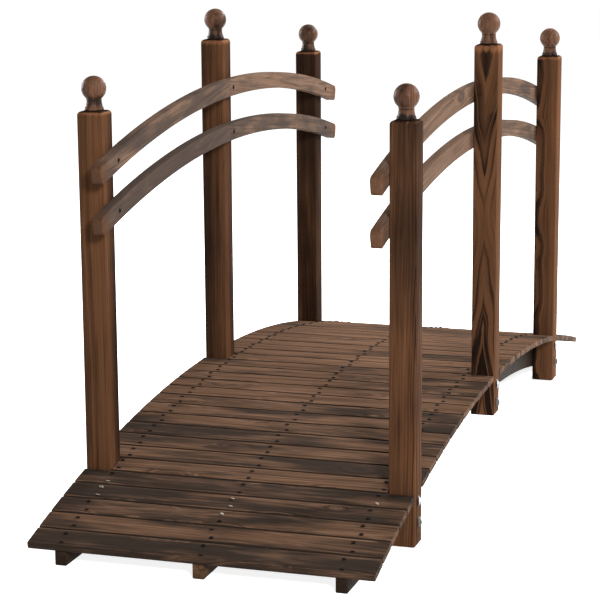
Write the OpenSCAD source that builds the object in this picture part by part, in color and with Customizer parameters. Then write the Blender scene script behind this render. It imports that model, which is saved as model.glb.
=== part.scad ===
// Arched garden footbridge of stained softwood, with ball-topped posts and curved rails.
// +X runs along the walkway and the front end is at -X. Left is +Y for someone walking towards +X.
// The ground is at z = 0 and the origin is under the middle of the deck.

/* [Deck] */
// Length of the walking surface, measured along its curve
walkway_length = 2027; // [1700:1:2400]
// Width of the deck from edge to edge
deck_width = 670; // [500:5:1000]
// Open joint between neighbouring boards
board_gap = 3; // [1:0.5:6]
// Thickness of a deck board
board_thickness = 13; // [8:0.5:20]
// Chamfer along the upper long edges of a board
board_ease = 1.5; // [0.5:0.25:3]
// Number of boards on each end ramp, outside the end posts
ramp_board_count = 5; // [3:1:8]
// Number of boards in each span between two pairs of posts
span_board_count = 11; // [7:1:15]

/* [Arch] */
// Radius of the walking surface
arch_radius = 3770; // [3000:10:6000]
// Height of the walking surface above ground at both ends
deck_end_height = 42; // [36:1:80]

/* [Stringers] */
// Depth of an arched stringer, from its upper to its lower curve
stringer_depth = 68; // [50:1:100]
// Thickness of a stringer across the deck
stringer_thickness = 23; // [18:1:40]
// Distance of a stringer's end behind the deck's end
stringer_set_back = 8; // [2:1:25]

/* [Posts] */
// Side of the square posts
post_size = 52; // [44:1:80]
// Length of a post from its foot to its flat top
post_length = 810; // [600:5:1000]
// Radius of a post's long edges
post_edge = 3; // [1:0.5:6]
// Radius of the rounded edges round a post's top
post_shoulder = 7; // [2:0.5:7.5]
// Height of the end posts' feet above ground
end_post_lift = 3; // [0:0.5:15]
// Length of a middle post below the stringers
middle_post_tail = 10; // [0:1:30]
// Clearance along the deck between a post and the next full-width board
post_clearance = 4.5; // [3:0.5:8]
// Clearance between a post and the end of the short board beside it
post_side_gap = 2; // [1:0.5:5]

/* [Rails] */
// Height of a rail
rail_height = 37; // [28:1:60]
// Thickness of a rail across the deck
rail_thickness = 20; // [14:1:35]
// Distance from a middle post's top down to the upper rail
middle_rail_drop = 86; // [60:1:120]
// Distance from an end post's top down to the upper rail
end_rail_drop = 77; // [50:1:120]
// Vertical distance from the upper rail to the lower rail
rail_spacing = 98; // [70:1:200]
// Length of a rail beyond the end posts
rail_overhang = 62; // [20:1:120]
// Radius of the rounded corners at a rail's ends
rail_corner = 11; // [2:0.5:13]
// Length of the half lap that joins a rail's two halves on the middle post
rail_lap = 76; // [56:1:120]
// Open joint at both ends of the half lap
rail_joint = 1; // [0.5:0.25:2]

/* [Finials] */
// Diameter of the ball
ball_diameter = 48.5; // [44:0.5:56]
// Height of the ball's centre above the post
ball_height = 42.5; // [40:0.5:50]
// Diameter of the neck at its narrowest place
neck_diameter = 29.5; // [20:0.5:31]
// Radius of the hollow where the neck runs into the ball
neck_hollow = 6; // [3:0.5:9]
// Diameter of the flared skirt where it meets the collar
skirt_diameter = 34; // [32:0.5:36]
// Diameter of the collar that stands on the post
collar_diameter = 37; // [36.5:0.5:44]
// Height of the collar
collar_height = 7; // [5:0.5:10]
// Radius of the collar's rounded edges
collar_edge = 2.5; // [1:0.25:2.5]

/* [Hidden] */

$fn = 64;
// Sides of the very large circles that shape the arches
arch_sides = 1080;
// How far a cut runs past the faces that it cuts
overrun = 5;
// Clearance between the two tongues of a rail's half lap
lap_clearance = 0.3;

stringer_colour = "#4f392c";
post_colour = "#74482f";
finial_colour = "#7a4f36";
rail_colour = "#6d4f40";
board_colour = "#573a2c";

left = 1;
right = -1;
front = -1;
back = 1;

// Places along the arc of the deck, measured from its crown
half_arc = walkway_length / 2;
post_bay = post_size + 2 * post_clearance;
boards_arc = half_arc - 3 * post_bay / 2 + 2 * board_gap;
board_pitch = boards_arc / (span_board_count + ramp_board_count);
board_width = board_pitch - board_gap;
post_board_width = post_bay - 2 * board_gap;
span_start = post_bay / 2;
span_arc = span_board_count * board_pitch - board_gap;
end_bay_start = span_start + span_arc;
end_bay_middle = end_bay_start + post_bay / 2;
ramp_start = end_bay_start + post_bay;

// Heights and places of the arch
function arc_angle(arc) = arc / arch_radius * 180 / PI;
crown_height = deck_end_height + arch_radius * (1 - cos(arc_angle(half_arc)));
arch_centre = crown_height - arch_radius;
deck_half_length = arch_radius * sin(arc_angle(half_arc));
stringer_radius = arch_radius - board_thickness;
stringer_half_length = deck_half_length - stringer_set_back;
stringer_face = deck_width / 2 - post_size;
stringer_place = stringer_face - stringer_thickness / 2;

// Heights and places of the posts
post_place = deck_width / 2 - post_size / 2;
end_post_reach = (arch_radius - board_thickness / 2) * sin(arc_angle(end_bay_middle));
middle_post_foot = crown_height - board_thickness - stringer_depth - middle_post_tail;
end_post_top = end_post_lift + post_length;
middle_post_top = middle_post_foot + post_length;
post_board_length = deck_width - 2 * (post_size + post_side_gap);

// The upper rail is the arc through its seats on the three posts of a side
rail_place = stringer_face - rail_thickness / 2;
rail_crown = middle_post_top - middle_rail_drop;
rail_rise = rail_crown - (end_post_top - end_rail_drop);
rail_radius = (end_post_reach ^ 2 + rail_rise ^ 2) / (2 * rail_rise);
rail_half_angle = asin((end_post_reach + post_size / 2 + rail_overhang) / rail_radius);
function rail_angle(arc) = arc / rail_radius * 180 / PI;

// The finial's neck is narrowest where its two hollows meet, and its upper hollow touches the ball
ball_radius = ball_diameter / 2;
neck_radius = neck_diameter / 2;
hollow_reach = neck_radius + neck_hollow;
hollow_drop = sqrt((ball_radius + neck_hollow) ^ 2 - hollow_reach ^ 2);
ball_share = ball_radius / (ball_radius + neck_hollow);
neck_height = ball_height - hollow_drop;
skirt_flare = (skirt_diameter - neck_diameter) / 2;
skirt_hollow = (skirt_flare ^ 2 + (neck_height - collar_height) ^ 2) / (2 * skirt_flare);

// Stringer bent to the arch, cut upright at both ends and flat where it stands on the ground
module stringer(place) {
    color(stringer_colour)
        intersection() {
            translate([0, place, arch_centre])
                rotate([90, 0, 0])
                    difference() {
                        cylinder(r = stringer_radius, h = stringer_thickness,
                            center = true, $fn = arch_sides);
                        cylinder(r = stringer_radius - stringer_depth, h = stringer_thickness + 2 * overrun,
                            center = true, $fn = arch_sides);
                    }
            translate([-stringer_half_length, place - stringer_thickness, 0])
                cube([2 * stringer_half_length, 2 * stringer_thickness, crown_height]);
        }
}

// What is cut away to round a corner that lies at the origin, with the wood at negative x and y
module corner_waste(radius) {
    difference() {
        translate([-radius, -radius])
            square(radius + overrun);
        translate([-radius, -radius])
            circle(r = radius);
    }
}

// Both corners of a rail's end, drawn with the upper edge at the rail's radius
module rail_end_waste() {
    translate([rail_radius, 0])
        corner_waste(rail_corner);
    translate([rail_radius - rail_height, 0])
        mirror([1, 0])
            corner_waste(rail_corner);
}

// The front half of a rail: its end is sawn square to the curve with rounded corners, and half its
// thickness is cut away where it lies on the middle post
module rail_half(side) {
    lap_angle = rail_angle(rail_lap / 2);
    tip_angle = rail_angle(rail_joint) - lap_angle;
    cut_place = (rail_thickness - lap_clearance) / 2;
    difference() {
        rotate([0, 0, 90 + tip_angle])
            rotate_extrude(angle = rail_half_angle - tip_angle, $fn = arch_sides)
                translate([rail_radius - rail_height, -rail_thickness / 2])
                    square([rail_height, rail_thickness]);
        rotate([0, 0, 90 + lap_angle])
            translate([rail_radius - rail_height / 2, -rail_lap / 2, side * cut_place])
                cube([rail_height + 2 * overrun, rail_lap, rail_thickness], center = true);
        rotate([0, 0, 90 + rail_half_angle])
            linear_extrude(rail_thickness + 2 * overrun, center = true)
                rail_end_waste();
    }
}

// Rail on the posts' inner faces. The back half is the front one turned about, so that its tongue
// lies over the other
module rail(side, crown) {
    color(rail_colour)
        translate([0, side * rail_place, crown - rail_radius])
            rotate([90, 0, 0])
                for (turn = [0, 180])
                    rotate([0, turn, 0])
                        rail_half(side);
}

// Square section with rounded corners
module post_section() {
    inner = post_size - 2 * post_edge;
    square([post_size, inner], center = true);
    square([inner, post_size], center = true);
    for (x = [-inner / 2, inner / 2], y = [-inner / 2, inner / 2])
        translate([x, y])
            circle(r = post_edge);
}

module post(reach, side, foot) {
    color(post_colour)
        translate([reach, side * post_place, foot])
            difference() {
                linear_extrude(post_length)
                    post_section();
                for (turn = [0 : 90 : 270])
                    rotate([0, 0, turn])
                        translate([post_size / 2, 0, post_length])
                            rotate([90, 0, 0])
                                linear_extrude(post_size + 2 * overrun, center = true)
                                    corner_waste(post_shoulder);
            }
}

// Half of the finial's outline: a ball, a neck between two hollows, and a collar with rounded edges
module finial_outline() {
    collar_inner = collar_diameter / 2 - collar_edge;
    intersection() {
        translate([0, ball_height])
            circle(r = ball_radius);
        square([ball_diameter, ball_height + ball_diameter]);
    }
    difference() {
        translate([0, neck_height])
            square([hollow_reach * ball_share, hollow_drop * (1 - ball_share)]);
        translate([hollow_reach, neck_height])
            circle(r = neck_hollow);
    }
    difference() {
        square([skirt_diameter / 2, neck_height]);
        translate([neck_radius + skirt_hollow, neck_height])
            circle(r = skirt_hollow);
    }
    square([collar_inner, collar_height]);
    translate([0, collar_edge])
        square([collar_diameter / 2, collar_height - 2 * collar_edge]);
    for (height = [collar_edge, collar_height - collar_edge])
        translate([collar_inner, height])
            circle(r = collar_edge);
}

module finial(reach, side, top) {
    color(finial_colour)
        translate([reach, side * post_place, top])
            rotate_extrude()
                finial_outline();
}

// One board with eased upper edges, its upper face at z = 0
module board(width, length) {
    half = width / 2;
    rotate([90, 0, 0])
        linear_extrude(length, center = true)
            polygon([
                [-half, -board_thickness],
                [half, -board_thickness],
                [half, -board_ease],
                [half - board_ease, 0],
                [board_ease - half, 0],
                [-half, -board_ease]
            ]);
}

// A board laid on the arch, centred at a distance along the arc from the crown
module laid_board(arc, width, length) {
    color(board_colour)
        translate([0, 0, arch_centre])
            rotate([0, arc_angle(arc), 0])
                translate([0, 0, arch_radius])
                    board(width, length);
}

// Full-width boards in a row, from the given place on the arc away from the crown
module board_row(end, start, count) {
    for (i = [0 : count - 1])
        laid_board(end * (start + board_width / 2 + i * board_pitch), board_width, deck_width);
}

module left_stringer() { stringer(left * stringer_place); }
module middle_stringer() { stringer(0); }
module right_stringer() { stringer(right * stringer_place); }

module front_left_post() { post(front * end_post_reach, left, end_post_lift); }
module front_right_post() { post(front * end_post_reach, right, end_post_lift); }
module middle_left_post() { post(0, left, middle_post_foot); }
module middle_right_post() { post(0, right, middle_post_foot); }
module back_left_post() { post(back * end_post_reach, left, end_post_lift); }
module back_right_post() { post(back * end_post_reach, right, end_post_lift); }

module front_left_finial() { finial(front * end_post_reach, left, end_post_top); }
module front_right_finial() { finial(front * end_post_reach, right, end_post_top); }
module middle_left_finial() { finial(0, left, middle_post_top); }
module middle_right_finial() { finial(0, right, middle_post_top); }
module back_left_finial() { finial(back * end_post_reach, left, end_post_top); }
module back_right_finial() { finial(back * end_post_reach, right, end_post_top); }

module left_upper_rail() { rail(left, rail_crown); }
module left_lower_rail() { rail(left, rail_crown - rail_spacing); }
module right_upper_rail() { rail(right, rail_crown); }
module right_lower_rail() { rail(right, rail_crown - rail_spacing); }

module front_ramp_boards() { board_row(front, ramp_start, ramp_board_count); }
module front_post_board() { laid_board(front * end_bay_middle, post_board_width, post_board_length); }
module front_span_boards() { board_row(front, span_start, span_board_count); }
module middle_post_board() { laid_board(0, post_board_width, post_board_length); }
module back_span_boards() { board_row(back, span_start, span_board_count); }
module back_post_board() { laid_board(back * end_bay_middle, post_board_width, post_board_length); }
module back_ramp_boards() { board_row(back, ramp_start, ramp_board_count); }

left_stringer();
middle_stringer();
right_stringer();
front_left_post();
front_right_post();
middle_left_post();
middle_right_post();
back_left_post();
back_right_post();
front_left_finial();
front_right_finial();
middle_left_finial();
middle_right_finial();
back_left_finial();
back_right_finial();
left_upper_rail();
left_lower_rail();
right_upper_rail();
right_lower_rail();
front_ramp_boards();
front_post_board();
front_span_boards();
middle_post_board();
back_span_boards();
back_post_board();
back_ramp_boards();
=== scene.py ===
import math
import random

import bmesh
import bpy
import numpy as np
from mathutils import Matrix, Vector


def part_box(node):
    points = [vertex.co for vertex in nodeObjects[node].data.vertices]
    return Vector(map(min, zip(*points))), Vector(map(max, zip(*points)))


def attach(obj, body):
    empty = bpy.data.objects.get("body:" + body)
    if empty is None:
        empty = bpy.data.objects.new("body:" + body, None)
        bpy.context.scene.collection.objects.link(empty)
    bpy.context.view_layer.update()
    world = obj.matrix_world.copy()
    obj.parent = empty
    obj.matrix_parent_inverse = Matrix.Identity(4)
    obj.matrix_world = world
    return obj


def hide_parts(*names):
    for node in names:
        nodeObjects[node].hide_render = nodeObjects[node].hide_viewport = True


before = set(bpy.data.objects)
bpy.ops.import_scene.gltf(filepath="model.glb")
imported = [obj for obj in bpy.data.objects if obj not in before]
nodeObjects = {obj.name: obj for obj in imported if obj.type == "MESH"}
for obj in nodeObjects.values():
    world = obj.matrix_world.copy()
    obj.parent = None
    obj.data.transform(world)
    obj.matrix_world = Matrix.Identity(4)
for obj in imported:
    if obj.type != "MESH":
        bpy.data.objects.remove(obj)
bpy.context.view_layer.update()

scene = bpy.context.scene
scene.view_settings.view_transform = "Standard"


def addPiece(name, data):
    piece = bpy.data.objects.new(name, data)
    scene.collection.objects.link(piece)
    return piece


# camera: a standing viewer at the front right, fitted to the deck joints and the balls
viewpoint = {
    "place": (-4.3991, -1.2772, 1.2621),
    "heading": -72.418,      # degrees round the upright
    "tilt": 78.413,          # up from straight down
    "roll": -0.399,          # round the line of sight
    "focalPixels": 2097.7,
    "framePixels": 600,
    "sensor": 36.0,
    "clipEnd": 60.0,
}


def addCamera(spec):
    data = bpy.data.cameras.new("bridgeCamera")
    data.sensor_width = spec["sensor"]
    data.lens = spec["focalPixels"] * spec["sensor"] / spec["framePixels"]
    data.clip_end = spec["clipEnd"]
    camera = addPiece("bridgeCamera", data)
    heading, tilt, roll = (math.radians(spec[key]) for key in ("heading", "tilt", "roll"))
    turn = Matrix.Rotation(heading, 4, "Z") @ Matrix.Rotation(tilt, 4, "X") @ Matrix.Rotation(roll, 4, "Z")
    turn.translation = spec["place"]
    camera.matrix_world = turn
    scene.camera = camera


addCamera(viewpoint)
print("camera placed")


# node helpers. A wire is a node's output, and sums of wires become Math nodes
class Wire:
    def __init__(self, tree, socket):
        self.tree = tree
        self.socket = socket

    def also(self, name):
        return Wire(self.tree, self.socket.node.outputs[name])

    def maths(self, operation, *others):
        return put(self.tree, "ShaderNodeMath", dict(enumerate((self, *others))), operation=operation)

    def __add__(self, other):
        return self.maths("ADD", other)

    def __sub__(self, other):
        return self.maths("SUBTRACT", other)

    def __rsub__(self, other):
        return put(self.tree, "ShaderNodeMath", {0: other, 1: self}, operation="SUBTRACT")

    def __mul__(self, other):
        return self.maths("MULTIPLY", other)


def feed(socket, value):
    if isinstance(value, Wire):
        value.tree.links.new(value.socket, socket)
    elif isinstance(value, tuple) and len(value) < len(socket.default_value):
        socket.default_value = (*value, 1.0)         # a colour without its alpha
    else:
        socket.default_value = value


def put(tree, kind, inputs=None, want=0, **settings):
    node = tree.nodes.new(kind)
    for key, value in settings.items():
        setattr(node, key, value)
    for key, value in (inputs or {}).items():
        feed(node.inputs[key], value)
    return Wire(tree, node.outputs[want])


def xyz(tree, **axes):
    return put(tree, "ShaderNodeCombineXYZ", axes)


def vec(operation, *wires):
    return put(wires[0].tree, "ShaderNodeVectorMath", dict(enumerate(wires)), operation=operation)


def scaled(wire, amount):
    return put(wire.tree, "ShaderNodeVectorMath", {0: wire, "Scale": amount}, operation="SCALE")


def centred(wire):
    return vec("SUBTRACT", wire, (0.5, 0.5, 0.5))


def ease(wire, low, high):
    return put(wire.tree, "ShaderNodeMapRange", {"Value": wire, 1: low, 2: high},
               interpolation_type="SMOOTHSTEP")


def blend(share, under, over, mode="MIX"):
    tree = next(value.tree for value in (share, under) if isinstance(value, Wire))
    return put(tree, "ShaderNodeMix", {0: share, 6: under, 7: over}, 2, data_type="RGBA", blend_type=mode)


def noise(wire, stretch, detail, rough, want="Fac"):
    place = vec("MULTIPLY", wire, stretch)
    return put(wire.tree, "ShaderNodeTexNoise",
               {"Vector": place, "Scale": 1.0, "Detail": detail, "Roughness": rough}, want)


def hexColour(code):
    parts = [int(code[i:i + 2], 16) / 255 for i in (1, 3, 5)]
    return tuple(p / 12.92 if p <= 0.04045 else ((p + 0.055) / 1.055) ** 2.4 for p in parts)


def newFinish(name):
    material = bpy.data.materials.new(name)
    material.use_nodes = True
    return material, material.node_tree, material.node_tree.nodes["Principled BSDF"].inputs


# stained and scorched softwood: year rings round a pith, fibres, knots and charred patches.
# A piece carries "grain" (metres, y along the fibres, pith at x = z = 0), a scorch level (how burnt it is,
# with painted shade added under the finial balls and on the posts' side faces), "figure" (how strong its
# rings show) and "pale" (where it is worn to fresh wood; on the rails, the ends, which keep the plain brown
# without the painted sheen)
woodPattern = {
    # noises: cells to a metre across, along and through the fibres, then detail and roughness
    "drift": ((9.0, 1.5, 9.0), 2.0, 0.50),
    "ripple": ((60.0, 9.0, 60.0), 2.0, 0.50),
    "growth": ((0.45, 1.0, 1.0), 1.0, 0.50),        # good and bad years
    "fibre": ((560.0, 9.0, 560.0), 4.0, 0.62),
    "thread": ((270.0, 5.5, 270.0), 3.0, 0.60),
    "patch": (3.0, 0.55),
    "streakAlong": 2.8,
    "bends": {"drift": 2.0, "ripple": 0.35},         # shares of the wobble
    "growthSwing": 1.6,
    "lateEnd": 0.90,
    "yearEnd": (0.92, 1.0),
    # knots: how far the grain swerves, the core and its burnt rim, as shares of a cell
    "knotScatter": 0.85,
    "swerve": (0.10, 0.62),
    "core": (0.09, 0.16),
    "rim": (0.15, 0.23),
    "rimDepth": 0.60,
    "knotRing": 0.022,
    "knotRingWander": 0.03,
    "knotRingLevels": (0.30, 0.45),
    "charByTone": -0.40,
    "charByScorch": 0.40,
    "blackEdge": 0.0004,
    "lightTone": (0.49, 0.64),
    "darkTone": (0.51, 0.36),
    "wornByTone": 2.4,
    "worn": (0.35, 0.95),
    "wornDepth": 0.60,
    "open": (0.5, 0.95),             # faces that lie open to the rain are matt
    "openRough": 0.95,
    "relief": (0.5, 0.8, 0.3),       # of late wood, fibres and knots
    "reliefHeight": 0.0012,
}
woodBase = {
    "ring": 0.0050, "ringDepth": 0.80, "lateStart": 0.30, "black": (), "wobble": 0.008, "streakWidth": 0.010,
    "charLevel": 0.62, "charSwing": 1.2, "charDepth": 0.85, "knotCells": (11.0, 5.0, 11.0), "fleck": 0.60,
    "bump": 0.40, "wetChar": 0.0,
}
# what each kind of piece has otherwise
woodLook = {
    "deck": {"early": "#604736", "late": "#32251c", "char": "#231f1c", "glow": "#785b4a", "fresh": "#866650",
             "ring": 0.0042, "wobble": 0.010, "streaks": 0.60, "charLevel": 0.60, "charWidth": 0.20,
             "charReach": (24.0, 5.0, 24.0), "charSwing": 1.15, "knotShare": 0.32,
             "knotCells": (17.0, 7.5, 17.0), "rough": (0.55, 0.75), "specular": 0.02},
    "post": {"early": "#5c3e2a", "late": "#21150f", "char": "#1b1411", "glow": "#714b32", "fresh": "#8a5d40",
             "ring": 0.0060, "ringDepth": 0.90, "lateStart": 0.50,
             "black": ((0.0245, 0.0308), (0.0377, 0.0432), (0.0445, 0.0485)), "wobble": 0.004,
             "streaks": 0.36, "charLevel": 0.66, "charWidth": 0.30, "charReach": (11.0, 2.4, 11.0),
             "knotShare": 0.06, "rough": (0.48, 0.64), "fleck": 0.50, "specular": 0.004},
    # the rail colours are lifted grey by a painted sheen, the white surroundings as the faces reflect them at
    # a grazing angle; the rail's "fresh" is the plain brown without it, mostly at the ends
    "rail": {"early": "#6d5647", "late": "#40362f", "char": "#3a3431", "glow": "#7b6352", "fresh": "#573722",
             "ring": 0.0055, "lateStart": 0.55, "wobble": 0.006, "streaks": 0.45, "streakWidth": 0.008,
             "charWidth": 0.24, "charReach": (26.0, 8.0, 26.0), "charSwing": 1.4, "charDepth": 0.75,
             "knotShare": 0.14, "knotCells": (16.0, 6.0, 16.0), "rough": (0.45, 0.60), "fleck": 0.80,
             "bump": 0.25, "specular": 0.006},
    "finial": {"early": "#664736", "late": "#3e2a20", "char": "#15110f", "glow": "#7b5944",
               "fresh": "#7d5a42", "lateStart": 0.35, "streaks": 0.30, "charLevel": 0.72, "charWidth": 0.15,
               "charReach": (20.0, 8.0, 20.0), "charDepth": 0.92, "knotShare": 0.0, "rough": (0.38, 0.46),
               "fleck": 0.22, "bump": 0.06, "specular": 0.06, "wetChar": 0.12},
    "stringer": {"early": "#5c4430", "late": "#33251b", "char": "#1a1511", "glow": "#745539",
                 "fresh": "#7d593c", "ringDepth": 0.85, "streaks": 0.50, "streakWidth": 0.012,
                 "charWidth": 0.18, "charReach": (12.0, 2.6, 12.0), "charSwing": 1.4, "charDepth": 0.90,
                 "knotShare": 0.20, "knotCells": (13.0, 5.0, 13.0), "rough": (0.52, 0.70), "specular": 0.04},
}


def scorchedWood(name, look, pattern):
    material, tree, shader = newFinish(name)
    grain, scorch, figure, pale = (
        put(tree, "ShaderNodeAttribute", None, want, attribute_name=key)
        for key, want in (("grain", "Vector"), ("scorch", "Fac"), ("figure", "Fac"), ("pale", "Fac")))

    # knots: some cells of a stretched cell pattern, each with a core that the grain flows round
    cells = look["knotCells"]
    inCells = vec("MULTIPLY", grain, cells)
    away = put(tree, "ShaderNodeTexVoronoi",
               {"Vector": inCells, "Scale": 1.0, "Randomness": pattern["knotScatter"]}, "Distance")
    isKnot = put(tree, "ShaderNodeSeparateColor", {0: away.also("Color")})
    isKnot = isKnot.maths("LESS_THAN", look["knotShare"])
    swerve, core, rim = ((1.0 - ease(away, *pattern[key])) * isKnot for key in ("swerve", "core", "rim"))
    toKnot = vec("SUBTRACT", away.also("Position"), inCells)
    toKnot = vec("MULTIPLY", toKnot, (1.0 / cells[0], 0.0, 1.0 / cells[2]))

    # year rings of uneven width, wandering along the fibres
    bent = grain
    for layer, share in pattern["bends"].items():
        sway = centred(noise(grain, *pattern[layer], "Color"))
        bent = vec("ADD", bent, scaled(sway, look["wobble"] * share))
    bent = vec("ADD", bent, scaled(toKnot, swerve))
    radius = vec("LENGTH", vec("MULTIPLY", bent, (1.0, 0.0, 1.0))).also("Value")
    years = radius.maths("DIVIDE", look["ring"])
    years = noise(xyz(tree, X=years), *pattern["growth"]) * pattern["growthSwing"] + years
    season = years.maths("FRACT")
    late = ease(season, look["lateStart"], pattern["lateEnd"]) * (1.0 - ease(season, *pattern["yearEnd"]))

    # fibres, streaks of two widths along the grain, and charred patches
    fine = 1.0 / look["streakWidth"]
    fibre = noise(bent, *pattern["fibre"])
    thread = noise(bent, *pattern["thread"])
    streak = noise(bent, (fine, pattern["streakAlong"], fine), *pattern["patch"])
    tone = (thread + streak) * 0.5
    uneven = tone - 0.5
    cloud = (noise(grain, look["charReach"], *pattern["patch"]) - 0.5) * look["charSwing"] + 0.5
    cloud = cloud + uneven * pattern["charByTone"] + scorch * pattern["charByScorch"]
    charred = ease(cloud, look["charLevel"] - look["charWidth"], look["charLevel"] + look["charWidth"])

    colours = {key: hexColour(look[key]) for key in ("early", "late", "char", "glow", "fresh")}
    colour = blend(late * figure * look["ringDepth"], colours["early"], colours["late"])
    edge = pattern["blackEdge"]
    for inner, outer in look["black"]:       # years that burnt black
        band = ease(radius, inner - edge, inner + edge) * ease(radius, outer + edge, outer - edge)
        colour = blend(band * figure, colour, colours["char"])
    knotRings = (thread * pattern["knotRingWander"] + away).maths("PINGPONG", pattern["knotRing"])
    low, swing = pattern["knotRingLevels"]
    knotRings = ease(knotRings, 0.0, pattern["knotRing"]) * swing + low
    worn = ease(uneven * pattern["wornByTone"] + pale, *pattern["worn"])
    for share, over in ((ease(tone, *pattern["lightTone"]) * look["streaks"], "glow"),
                        (ease(tone, *pattern["darkTone"]) * look["streaks"], "late"),
                        (charred * look["charDepth"], "char"), (rim * pattern["rimDepth"], "char"),
                        (core * knotRings, "glow"), (worn * pattern["wornDepth"], "fresh")):
        colour = blend(share, colour, colours[over])
    fleck = fibre * look["fleck"] + (1.0 - look["fleck"] / 2)
    fleck = put(tree, "ShaderNodeCombineColor", {0: fleck, 1: fleck, 2: fleck})
    feed(shader["Base Color"], blend(1.0, colour, fleck, "MULTIPLY"))

    low, high = look["rough"]
    rough = fibre * (high - low) + low - charred * look["wetChar"]
    upward = put(tree, "ShaderNodeSeparateXYZ", {0: put(tree, "ShaderNodeNewGeometry", None, "Normal")}, "Z")
    rough = ease(upward, *pattern["open"]) * (pattern["openRough"] - rough) + rough
    feed(shader["Roughness"], rough)
    feed(shader["Specular IOR Level"], look["specular"])
    byLate, byFibre, byKnot = pattern["relief"]
    height = late * byLate + fibre * byFibre - rim * byKnot
    feed(shader["Normal"], put(tree, "ShaderNodeBump", {"Strength": look["bump"], "Height": height,
                                                        "Distance": pattern["reliefHeight"]}))
    return material


woodFinish = {kind: scorchedWood(kind + "Wood", {**woodBase, **look}, woodPattern)
              for kind, look in woodLook.items()}
print("wood finishes made:", len(woodFinish))


# metal of the fixings: burnt-in deck screws, and zinc plated bolts with dull smears
metalLook = {
    "deckScrew": {"bright": "#0f0c0a", "dull": "#050404", "metallic": 0.0, "specular": 0.02,
                  "rough": (0.50, 0.80), "spots": 420.0},
    "wornScrew": {"bright": "#8a8177", "dull": "#55493f", "metallic": 0.30, "specular": 0.20,
                  "rough": (0.45, 0.65), "spots": 420.0},
    "zinc": {"bright": "#c6c8c8", "dull": "#9c9e9e", "metallic": 0.45, "specular": 0.50,
             "rough": (0.42, 0.60), "spots": 260.0},
}
smearPattern = {"detail": 3.0, "rough": 0.6, "edge": (0.35, 0.65), "bump": 0.15, "bumpHeight": 0.0004}


def platedMetal(name, look, pattern):
    material, tree, shader = newFinish(name)
    place = put(tree, "ShaderNodeTexCoord", None, "Object")
    smear = noise(place, (look["spots"],) * 3, pattern["detail"], pattern["rough"])
    feed(shader["Base Color"],
         blend(ease(smear, *pattern["edge"]), hexColour(look["dull"]), hexColour(look["bright"])))
    feed(shader["Metallic"], look["metallic"])
    feed(shader["Specular IOR Level"], look["specular"])
    low, high = look["rough"]
    feed(shader["Roughness"], smear * (high - low) + low)
    feed(shader["Normal"], put(tree, "ShaderNodeBump", {"Strength": pattern["bump"], "Height": smear,
                                                        "Distance": pattern["bumpHeight"]}))
    return material


metalFinish = {kind: platedMetal(kind + "Metal", look, smearPattern) for kind, look in metalLook.items()}
print("metal finishes made:", len(metalFinish))


# mesh helpers
def camel(node):
    first, *rest = node.split("_")
    return first + "".join(word.capitalize() for word in rest)


def bake(piece):
    graph = bpy.context.evaluated_depsgraph_get()
    mesh = bpy.data.meshes.new_from_object(piece.evaluated_get(graph), preserve_all_data_layers=True,
                                           depsgraph=graph)
    piece.modifiers.clear()
    old = piece.data
    piece.data = mesh
    mesh.name = piece.name
    bpy.data.meshes.remove(old)


def reshape(mesh, work):
    # hands the mesh to work as a bmesh, and writes back what it did
    shell = bmesh.new()
    shell.from_mesh(mesh)
    work(shell)
    shell.to_mesh(mesh)
    shell.free()


def addShell(name, points, faces):
    mesh = bpy.data.meshes.new(name)
    mesh.from_pydata(points, [], faces)
    reshape(mesh, lambda shell: bmesh.ops.recalc_face_normals(shell, faces=shell.faces[:]))
    return addPiece(name, mesh)


def loft(name, rings):
    count = len(rings[0])
    last = (len(rings) - 1) * count
    faces = [tuple(reversed(range(count)))]
    for start in range(0, last, count):
        for k in range(count):
            a, b = start + k, start + (k + 1) % count
            faces.append((a, b, b + count, a + count))
    faces.append(tuple(range(last, last + count)))
    return addShell(name, [p for ring in rings for p in ring], faces)


def roundEdges(piece, width, segments, angle=32.0, share=lambda a, b: 1.0):
    # share: how much of the width an edge gets, from the numbers of its two corners
    def weigh(shell):
        layer = shell.edges.layers.float.new("bevel_weight_edge")
        for edge in shell.edges:
            if edge.calc_face_angle(0.0) > math.radians(angle):
                edge[layer] = share(*(v.index for v in edge.verts))

    reshape(piece.data, weigh)
    bevel = piece.modifiers.new("edges", "BEVEL")
    bevel.width = width
    bevel.segments = segments
    bevel.limit_method = "WEIGHT"
    bevel.harden_normals = False
    bake(piece)


def smooth(piece, angle=32.0):
    def mark(shell):
        for edge in shell.edges:
            edge.smooth = edge.is_manifold and edge.calc_face_angle(0.0) < math.radians(angle)

    piece.data.shade_smooth()
    reshape(piece.data, mark)


def setLayer(mesh, name, kind, values):
    layer = mesh.attributes.get(name) or mesh.attributes.new(name, kind, "POINT")
    key = "vector" if kind == "FLOAT_VECTOR" else "value"
    layer.data.foreach_set(key, np.asarray(values, np.int32 if kind == "INT" else np.float32).ravel())


def vertexPlaces(mesh):
    places = np.empty(len(mesh.vertices) * 3)
    mesh.vertices.foreach_get("co", places)
    return places.reshape(-1, 3)


def grainOf(local, cut):
    # local: across, along, deep. cut: where the piece sat in the log, and how its fibres run
    return local + cut["pith"] + local[:, 1:2] * (cut["slope"][0], 0.0, cut["slope"][1])


def fasten(piece, node=None):
    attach(piece, "root")
    if node:
        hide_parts(node)


def dress(piece, wood, slot, node, grain, **levels):
    setLayer(piece.data, "grain", "FLOAT_VECTOR", grain)
    for key, level in levels.items():
        setLayer(piece.data, key, "FLOAT", np.broadcast_to(level, len(grain)))
    piece.data.materials.append(woodFinish[wood])
    fasten(piece, node)


# how the CAD nodes are read: faces that count as a bent piece's curve have little of their normal
# across, most of it upright and some of it along, and the outermost corners are left out
cadReading = {"merge": 1e-6, "across": 0.05, "upright": 0.8, "along": 1e-5, "inside": 0.97}


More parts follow.
